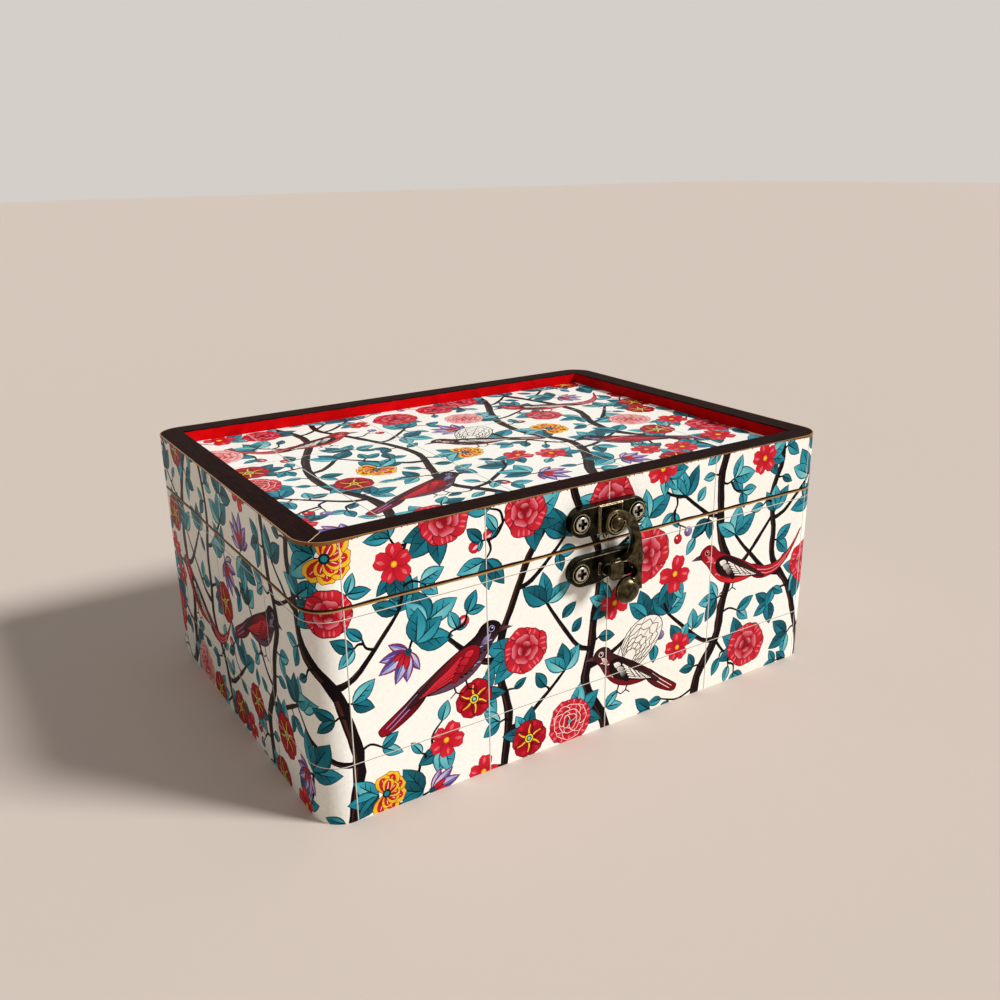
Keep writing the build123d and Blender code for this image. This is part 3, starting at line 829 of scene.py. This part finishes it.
def wall_drawing(settings):
    """The print that runs once round the four sides."""
    straights, half_arc = side_lengths(settings.corner_radius)
    width = sum(straights) + 8 * half_arc
    height = LID_TOP / MM
    drawing = Drawing(width, height, settings.seed)
    front = straights[0] + 2 * half_arc
    side = front + straights[1] + 2 * half_arc
    behind = side + straights[2] + 2 * half_arc
    trunks = []
    for number, x in enumerate(np.arange(16, width - 12, TRUNK_SPACING)):
        lean = (0.2, -0.14, 0.1, -0.2)[number % 4]
        thickness = (3.6, 2.7, 3.2)[number % 3]
        trunks.append(trunk(x, lean, 4.5, number * 1.9, height, thickness, FORK_SETS[number % 3]))
    birds = [
        facing_right(front + 37, 36, "dusk", 0.05),
        facing_left(front + 143, 41, "scarlet", 0.0, 0.95),
        facing_left(front + 100, 17, "speckled", 0.1, 0.9),
        facing_left(34, 30, "scarlet", 0.1),
        facing_right(92, 44, "dusk", 0.0),
        facing_right(side + 42, 42, "speckled", 0.0, 0.95),
        facing_left(side + 92, 22, "dusk", 0.1),
        facing_left(behind + 40, 24, "dusk", 0.0),
        facing_right(behind + 96, 42, "scarlet", -0.1),
        facing_left(behind + 150, 20, "speckled", 0.1, 0.9),
    ]
    grow_garden(drawing, trunks, birds, settings.wall_flowers, settings.filler)
    runs = ((front + 7.2, 5), (side + 15, 3), (behind + 8, 5), (17, 3))
    tile_joints(drawing, [start + TILE * k for start, count in runs for k in range(count)], (17.0, 58.6))
    edge_wear(drawing, (0, front, side, behind, width))
    return drawing


def recess_drawing(settings):
    """The print in the lid's recess."""
    width, height = 2 * RECESS_HALF_WIDTH / MM, 2 * RECESS_HALF_DEPTH / MM
    drawing = Drawing(width, height, settings.seed + 7)
    trunks = []
    for number, x in enumerate((18, 60, 96, 138)):
        lean = (0.12, -0.1, 0.14, -0.08)[number]
        thickness = (3.2, 2.7, 3.4)[number % 3]
        forks = FORK_SETS[number % 3] + ((0.85, 14, 10, 1.5),)
        trunks.append(trunk(x, lean, 5.5, number * 2.3, height, thickness, forks))
    birds = [
        facing_right(42, 26, "dusk", 0.0),
        facing_left(84, 62, "speckled", 0.0, 0.9),
        facing_left(130, 90, "scarlet", 0.0, 0.95),
        facing_right(36, 92, "scarlet", -0.1, 0.9),
        facing_left(128, 34, "dusk", 0.1),
    ]
    grow_garden(drawing, trunks, birds, settings.recess_flowers, settings.filler // 2)
    tile_joints(drawing, [21 + TILE * k for k in range(4)], (37, 37 + TILE))
    return drawing


# Materials

def set_inputs(node, inputs):
    """Gives a node's inputs their values, or links them to other nodes' outputs."""
    for name, value in inputs.items():
        if isinstance(value, bpy.types.NodeSocket):
            node.id_data.links.new(value, node.inputs[name])
        else:
            node.inputs[name].default_value = value


def add_node(tree, kind, inputs=None, out=0, **settings):
    """Adds one node, sets its properties and inputs, and gives one of its outputs."""
    made = tree.nodes.new("ShaderNode" + kind)
    for name, value in settings.items():
        setattr(made, name, value)
    set_inputs(made, inputs or {})
    return made.outputs[out]


# Settings of a Mix node that mixes its colour inputs 6 and 7 by its input 0
COLOURS = {"out": 2, "data_type": "RGBA"}


def new_material(name):
    """An empty material, the function that adds its nodes, and its Principled shader."""
    material = bpy.data.materials.new(name)
    material.use_nodes = True
    tree = material.node_tree
    return material, partial(add_node, tree), tree.nodes["Principled BSDF"]


def rgba(hex_colour):
    return (*linear(hex_colour), 1.0)


def grain(millimetres):
    """Texture scale at which one feature is that many millimetres across."""
    return 1000.0 / millimetres


def printed_paper():
    """Offset-printed paper under brushed varnish.

    The ink lies in flat fields with a slight mottle, the ground yellows in soft clouds,
    and the varnish gives a low gloss over a faint fibre.
    """
    material, node, shader = new_material("Varnished_Printed_Paper")
    where = node("TexCoord", out="Object")
    ink = node("Attribute", out="Color", attribute_name="ink")
    mottle = node("TexNoise", {"Vector": where, "Scale": grain(1.1), "Detail": 3.0})
    cloud = node("TexNoise", {"Vector": where, "Scale": grain(26), "Detail": 2.0})
    fibre = node("TexNoise", {"Vector": where, "Scale": grain(0.5), "Detail": 4.0})
    tone = node("MapRange", {
        "Value": mottle, "From Min": 0.3, "From Max": 0.7, "To Min": 0.95, "To Max": 1.03,
    })
    toned = node("Mix", {0: 1.0, 6: ink, 7: tone}, **COLOURS, blend_type="MULTIPLY")
    age = node("MapRange", {"Value": cloud, "From Min": 0.5, "From Max": 0.8, "To Max": 0.25})
    aged = node("Mix", {0: age, 6: toned, 7: rgba("#F6E8CE")}, **COLOURS, blend_type="MULTIPLY")
    set_inputs(shader, {
        "Base Color": aged,
        "Roughness": node("MapRange", {"Value": cloud, "To Min": 0.3, "To Max": 0.42}),
        "Normal": node("Bump", {"Height": fibre, "Strength": 0.06, "Distance": 0.05 * MM}),
        "IOR": 1.46,
        "Specular IOR Level": 0.05,
    })
    return material


def board_finish(name, stain_above, seam_from, seam_to, raw_below):
    """Fibreboard under red enamel, its rim stained dark and its hidden edges left brown.

    stain_above, seam_from, seam_to and raw_below are heights in metres: the rim's stain
    starts above the first, bare board edges lie between the next two and below the last.
    The enamel is glossy with faint brush ridges, the stain is duller and shows fine grain.
    """
    material, node, shader = new_material(name)
    coords = node("TexCoord").node.outputs
    where = coords["Object"]
    place = node("SeparateXYZ", {"Vector": where}).node.outputs
    wobble = node("TexNoise", {"Vector": where, "Scale": grain(2.5), "Detail": 3.0})
    brush = node("TexNoise", {"Vector": where, "Scale": grain(4), "Detail": 2.0})
    mitre = HALF_WIDTH - HALF_DEPTH

    # Fine grain runs along each board
    far_x = node("Math", {0: place["X"]}, operation="ABSOLUTE")
    far_y = node("Math", {0: place["Y"]}, operation="ABSOLUTE")
    across = node("Math", {0: far_x, 1: far_y}, operation="SUBTRACT")
    end_board = node("Math", {0: across, 1: mitre}, operation="GREATER_THAN")
    ways = []
    for scale in ((0.12, 1, 1), (1, 0.12, 1)):
        drawn = node("Mapping", {"Vector": where, "Scale": scale})
        fine = {"Vector": drawn, "Scale": grain(0.7), "Detail": 5.0, "Roughness": 0.65}
        ways.append(node("TexNoise", fine))
    streaks = node("Mix", {0: end_board, 2: ways[0], 3: ways[1]})
    streak = node("MapRange", {"Value": streaks, "From Min": 0.35, "From Max": 0.7})

    # Dark stain, with a crack at each mitre that stands open and pale at the near corner
    stain = node("Mix", {0: streak, 6: rgba("#0A0302"), 7: rgba("#29100C")}, **COLOURS)
    shaken = node("Math", {0: wobble, 1: 0.9 * MM, 2: across}, operation="MULTIPLY_ADD")
    off_mitre = node("Math", {0: shaken, 1: mitre + 0.45 * MM, 2: 0.2 * MM}, operation="COMPARE")
    to_left = node("Math", {0: place["X"], 1: 0.0}, operation="LESS_THAN")
    to_front = node("Math", {0: place["Y"], 1: 0.0}, operation="LESS_THAN")
    near_corner = node("Math", {0: to_left, 1: to_front}, operation="MULTIPLY")
    crack = node("Mix", {0: near_corner, 6: rgba("#060302"), 7: rgba("#D8B896")}, **COLOURS)
    stain = node("Mix", {0: off_mitre, 6: stain, 7: crack}, **COLOURS)

    # Red enamel below the stain
    height = node("Math", {0: wobble, 1: 0.5 * MM, 2: place["Z"]}, operation="MULTIPLY_ADD")
    stained = node("Math", {0: height, 1: stain_above}, operation="GREATER_THAN")
    enamel = node("Mix", {0: brush, 6: rgba("#B80409"), 7: rgba("#E00C10")}, **COLOURS)
    painted = node("Mix", {0: stained, 6: enamel, 7: stain}, **COLOURS)

    # Bare board on the level faces at the seam and at the foot
    facing = node("SeparateXYZ", {"Vector": coords["Normal"]}, out="Z")
    upright = node("Math", {0: facing}, operation="ABSOLUTE")
    level = node("Math", {0: upright, 1: 0.7}, operation="GREATER_THAN")
    over_seam = node("Math", {0: place["Z"], 1: seam_from}, operation="GREATER_THAN")
    under_seam = node("Math", {0: place["Z"], 1: seam_to}, operation="LESS_THAN")
    seam = node("Math", {0: over_seam, 1: under_seam}, operation="MULTIPLY")
    seam_face = node("Math", {0: seam, 1: level}, operation="MULTIPLY")
    foot = node("Math", {0: place["Z"], 1: raw_below}, operation="LESS_THAN")
    bare = node("Math", {0: seam_face, 1: foot}, operation="MAXIMUM")
    raw = node("Mix", {0: streak, 6: rgba("#7A5230"), 7: rgba("#A8794A")}, **COLOURS)

    dull = node("Math", {0: stained, 1: bare}, operation="MAXIMUM")
    ridges = node("Mix", {0: dull, 2: brush, 3: streak})
    set_inputs(shader, {
        "Base Color": node("Mix", {0: bare, 6: painted, 7: raw}, **COLOURS),
        "Roughness": node("MapRange", {"Value": dull, "To Min": 0.22, "To Max": 0.5}),
        "Normal": node("Bump", {"Height": ridges, "Strength": 0.25, "Distance": 0.1 * MM}),
        "IOR": 1.46,
        "Specular IOR Level": 0.015,
    })
    return material


def antique_bronze(name, black_hex, brown_hex, edge_wear_highlight_hex):
    """Die-cast zinc, bronze plated, blackened and rubbed back.

    The black stays on the flats. Ambient occlusion darkens the recesses further as painted shade, and the
    edges are brightened, partly as rubbed-back metal and partly as a painted highlight.
    """
    material, node, shader = new_material(name)
    where = node("TexCoord", out="Object")
    blotch = node("TexNoise", {"Vector": where, "Scale": grain(1.6), "Detail": 4.0})
    flat = node("NewGeometry", out="Normal")
    # Edge mask from the bevelled normal: the edges are brightened, partly as rubbed-back metal and partly as
    # a painted highlight
    soft = node("Bevel", {"Radius": 0.45 * MM}, samples=6)
    match = node("VectorMath", {0: soft, 1: flat}, out="Value", operation="DOT_PRODUCT")
    rubbed = node("MapRange", {"Value": match, "From Min": 0.985, "From Max": 0.88})
    patchy = node("MapRange", {"Value": blotch, "From Min": 0.2, "From Max": 0.45, "To Min": 0.6})
    edge = node("Math", {0: rubbed, 1: patchy}, operation="MULTIPLY")
    wear = node("MapRange", {"Value": blotch, "From Min": 0.4, "From Max": 0.75})
    face = node("Mix", {0: wear, 6: rgba(black_hex), 7: rgba(brown_hex)}, **COLOURS)
    # Painted shade: ambient occlusion darkens the recesses towards near black
    hollow_painted_shade = node("AmbientOcclusion", {"Distance": 1.6 * MM}, out="AO", samples=8)
    open_face = node("MapRange", {"Value": hollow_painted_shade, "From Min": 0.45, "From Max": 0.95})
    shaded = node("Mix", {0: open_face, 6: rgba("#0B0906"), 7: face}, **COLOURS)
    set_inputs(shader, {
        "Base Color": node("Mix", {0: edge, 6: shaded, 7: rgba(edge_wear_highlight_hex)}, **COLOURS),
        "Roughness": node("MapRange", {"Value": blotch, "To Min": 0.24, "To Max": 0.4}),
        "Normal": node("Bump", {"Height": blotch, "Strength": 0.12, "Distance": 0.1 * MM}),
        "Metallic": 1.0,
    })
    return material


def nickel_screw():
    """Steel screw with rolled head, nickel plated.

    Its rim is bright, and ambient occlusion darkens its recess as painted shade.
    """
    material, node, shader = new_material("Nickel_Plated_Steel_Screw")
    where = node("TexCoord", out="Object")
    speck = node("TexNoise", {"Vector": where, "Scale": grain(0.8), "Detail": 3.0})
    # Painted shade: ambient occlusion darkens the cross recess towards near black
    hollow_painted_shade = node("AmbientOcclusion", {"Distance": 1.8 * MM}, out="AO", samples=8)
    open_face = node("MapRange", {"Value": hollow_painted_shade, "From Min": 0.82, "From Max": 0.99})
    tint = node("Mix", {0: speck, 6: rgba("#8B8677"), 7: rgba("#F2EEDF")}, **COLOURS)
    set_inputs(shader, {
        "Base Color": node("Mix", {0: open_face, 6: rgba("#0D0B08"), 7: tint}, **COLOURS),
        "Metallic": 1.0,
        "Roughness": 0.3,
    })
    return material


def dress(node, material):
    """Gives a CAD node one material."""
    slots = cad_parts[node].data.materials
    slots.clear()
    slots.append(material)


class GiftBoxSettings(PropertyGroup):
    corner_radius: FloatProperty(
        name="Corner radius", description="Radius of the box's upright corners",
        default=8.5 * MM, unit="LENGTH", subtype="DISTANCE",
    )
    paper_thickness: FloatProperty(
        name="Paper thickness", description="Thickness of the printed paper",
        default=0.28 * MM, unit="LENGTH", subtype="DISTANCE",
    )
    ground: FloatVectorProperty(
        name="Ground", description="Colour of the paper between the motifs",
        default=linear("#FCFAF1"), subtype="COLOR", size=3, min=0.0, max=1.0,
    )
    seed: IntProperty(name="Seed", description="Start of the pattern's random draws", default=11)
    wall_flowers: IntProperty(
        name="Flowers round the sides", description="Large flowers in the print round the sides",
        default=98, min=0,
    )
    recess_flowers: IntProperty(
        name="Flowers in the recess", description="Large flowers in the print on the lid",
        default=44, min=0,
    )
    filler: IntProperty(
        name="Filler tries", description="Tries at filling gaps of the print with leaves and buds",
        default=4200, min=0,
    )


class GIFTBOX_OT_wall_print(Operator):
    """Lays the printed paper round the case and the lid"""

    bl_idname = "giftbox.wall_print"
    bl_label = "Printed sides"

    def execute(self, context):
        settings = context.scene.gift_box
        radius = settings.corner_radius
        straights, half_arc = side_lengths(radius)
        drawing = wall_drawing(settings)
        paper = printed_paper()
        start = 0.0
        halves = {
            "case": (0.0, CASE_TOP / MM, "case_print_paper"),
            "lid": (LID_FOOT / MM, LID_TOP / MM, "lid_print_paper"),
        }
        for (side, along, out), straight in zip(SIDES, straights):
            length = straight + 2 * half_arc
            place = side_place(along, out, start, straight, half_arc, radius)
            arc = np.linspace(0, half_arc, 7)
            folds = [start + a for a in arc[1:]] + [start + half_arc + straight + a for a in arc[:-1]]
            for body, (low, high, node) in halves.items():
                window = (start, start + length, low, high)
                sheet = print_sheet(f"{body}_{side}_print", drawing, window, folds, place, settings)
                sheet.data.materials.append(paper)
                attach(sheet, body)
                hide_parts(node)
            start += length
        return {"FINISHED"}


class GIFTBOX_OT_recess_print(Operator):
    """Lays the printed paper on the floor of the lid's recess"""

    bl_idname = "giftbox.recess_print"
    bl_label = "Printed recess"

    def execute(self, context):
        settings = context.scene.gift_box
        drawing = recess_drawing(settings)
        window = (0.0, drawing.width, 0.0, drawing.height)

        def place(x, y, depth):
            return (x * MM - RECESS_HALF_WIDTH, y * MM - RECESS_HALF_DEPTH, RECESS_FLOOR - depth)

        sheet = print_sheet("lid_recess_print", drawing, window, [], place, settings)
        sheet.data.materials.append(printed_paper())
        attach(sheet, "lid")
        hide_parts("lid_panel_print")
        return {"FINISHED"}


# Heights past the box, for a finish that a board doesn't have
ABOVE_ALL = 1.0
BELOW_ALL = -1.0


class GIFTBOX_OT_boards(Operator):
    """Stains the rims and paints the inner faces of the boards and panels"""

    bl_idname = "giftbox.boards"
    bl_label = "Boards"

    def execute(self, context):
        lid = board_finish(
            "Red_Enamelled_Stained_Lid_Board",
            LID_TOP - 0.1 * MM, LID_FOOT - 1 * MM, LID_FOOT + 0.1 * MM, BELOW_ALL,
        )
        case = board_finish(
            "Red_Enamelled_Case_Board",
            ABOVE_ALL, CASE_TOP - 0.1 * MM, CASE_TOP + 1 * MM, 0.1 * MM,
        )
        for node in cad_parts:
            if node.startswith("lid_") and (node.endswith("_rail") or node == "lid_panel"):
                dress(node, lid)
            if node.endswith("_wall") or node == "bottom_panel":
                dress(node, case)
        return {"FINISHED"}


class GIFTBOX_OT_fittings(Operator):
    """Finishes the latch, the hinges and their screws"""

    bl_idname = "giftbox.fittings"
    bl_label = "Latch and hinges"

    def execute(self, context):
        # The last colour of each finish is its edge colour, partly rubbed-back metal and partly a painted
        # highlight
        plates = antique_bronze("Blackened_Bronze_Plated_Zinc", "#14120C", "#363124", "#F4E4B4")
        castings = antique_bronze("Rubbed_Bronze_Plated_Zinc", "#2C2719", "#695E43", "#F4DFA6")
        nickel = nickel_screw()
        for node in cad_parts:
            if node.endswith(("latch_plate", "leaf")):
                dress(node, plates)
            if node.endswith(("hook", "rivet", "post", "pin", "hinge_screws")):
                dress(node, castings)
            if node.endswith("latch_screws"):
                dress(node, nickel)
        return {"FINISHED"}


class GIFTBOX_OT_stage(Operator):
    """Sets the floor, the lamps and the camera"""

    bl_idname = "giftbox.stage"
    bl_label = "Stage"

    def execute(self, context):
        context.scene.view_settings.view_transform = "Standard"
        set_floor()
        set_lamps()
        set_camera()
        return {"FINISHED"}


def set_floor():
    """A wide pale sweep of board under the box."""
    size = 6.0
    mesh = bpy.data.meshes.new("floor")
    corners = [(-size, -size, 0), (size, -size, 0), (size, size, 0), (-size, size, 0)]
    mesh.from_pydata(corners, [], [(0, 1, 2, 3)])
    floor = add_object("floor", mesh)
    material, _, shader = new_material("Matt_White_Studio_Board")
    set_inputs(shader, {"Base Color": rgba("#D3C5BA"), "Roughness": 0.7, "Specular IOR Level": 0.1})
    mesh.materials.append(material)


def set_lamps():
    """Soft key from the right of the camera, a broad top light and a dim, even fill."""
    world = bpy.data.worlds.new("studio")
    world.use_nodes = True
    bpy.context.scene.world = world
    node = partial(add_node, world.node_tree)
    rays = node("LightPath").node.outputs
    seen = node("Math", {0: rays["Is Camera Ray"], 1: rays["Is Glossy Ray"]}, operation="MAXIMUM")
    seen = node("Math", {0: seen, 1: rays["Is Transmission Ray"]}, operation="MAXIMUM")
    level = node("MapRange", {"Value": seen, "To Min": 0.2, "To Max": 0.66})
    set_inputs(world.node_tree.nodes["Background"], {"Color": rgba("#FFF8F2"), "Strength": level})
    lamps = (
        ("key", (0.62, -0.62, 0.72), math.radians(14), 3.5),
        ("top", (-0.1, 0.3, 1.0), math.radians(60), 0.35),
    )
    for name, towards, spread, energy in lamps:
        data = bpy.data.lights.new(name, "SUN")
        data.angle = spread
        data.energy = energy
        lamp = add_object(name, data)
        lamp.rotation_euler = (-Vector(towards)).to_track_quat("-Z", "Y").to_euler()


# Camera fitted to the photograph's edges of the box
CAMERA_AT = Vector((-168.35, -276.57, 165.25)) * MM
CAMERA_AZIMUTH = math.radians(-32.40)
CAMERA_ELEVATION = math.radians(18.73)
CAMERA_ROLL = math.radians(-0.90)
CAMERA_LENS = 35.77
CAMERA_SHIFT = (-0.0008, -0.0002)


def set_camera():
    """Camera at the photograph's place, turned to its bearing, height and roll."""
    data = bpy.data.cameras.new("camera")
    data.sensor_fit = "HORIZONTAL"
    data.sensor_width = 36.0
    data.lens = CAMERA_LENS
    data.shift_x, data.shift_y = CAMERA_SHIFT
    data.clip_start = 0.01
    back = Vector((
        math.sin(CAMERA_AZIMUTH) * math.cos(CAMERA_ELEVATION),
        -math.cos(CAMERA_AZIMUTH) * math.cos(CAMERA_ELEVATION),
        math.sin(CAMERA_ELEVATION),
    ))
    right = (-back).cross(Vector((0, 0, 1))).normalized()
    up = right.cross(-back)
    rolled_right = right * math.cos(CAMERA_ROLL) + up * math.sin(CAMERA_ROLL)
    rolled_up = up * math.cos(CAMERA_ROLL) - right * math.sin(CAMERA_ROLL)
    camera = add_object("camera", data)
    turned = Matrix((rolled_right, rolled_up, back)).transposed().to_4x4()
    camera.matrix_world = Matrix.Translation(CAMERA_AT) @ turned
    bpy.context.scene.camera = camera


class GIFTBOX_PT_panel(Panel):
    bl_label = "Gift Box"
    bl_idname = "GIFTBOX_PT_panel"
    bl_space_type = "VIEW_3D"
    bl_region_type = "UI"
    bl_category = "Gift Box"

    def draw(self, context):
        settings = context.scene.gift_box
        for name in GiftBoxSettings.__annotations__:
            self.layout.prop(settings, name)
        for operator in OPERATORS:
            self.layout.operator(operator.bl_idname)


OPERATORS = (
    GIFTBOX_OT_wall_print, GIFTBOX_OT_recess_print, GIFTBOX_OT_boards, GIFTBOX_OT_fittings, GIFTBOX_OT_stage,
)
CLASSES = (GiftBoxSettings, *OPERATORS, GIFTBOX_PT_panel)


def register():
    for cls in CLASSES:
        bpy.utils.register_class(cls)
    bpy.types.Scene.gift_box = PointerProperty(type=GiftBoxSettings)


def unregister():
    del bpy.types.Scene.gift_box
    for cls in reversed(CLASSES):
        bpy.utils.unregister_class(cls)


def main():
    register()
    bpy.ops.giftbox.wall_print()
    bpy.ops.giftbox.recess_print()
    bpy.ops.giftbox.boards()
    bpy.ops.giftbox.fittings()
    bpy.ops.giftbox.stage()


if __name__ == "__main__":
    main()
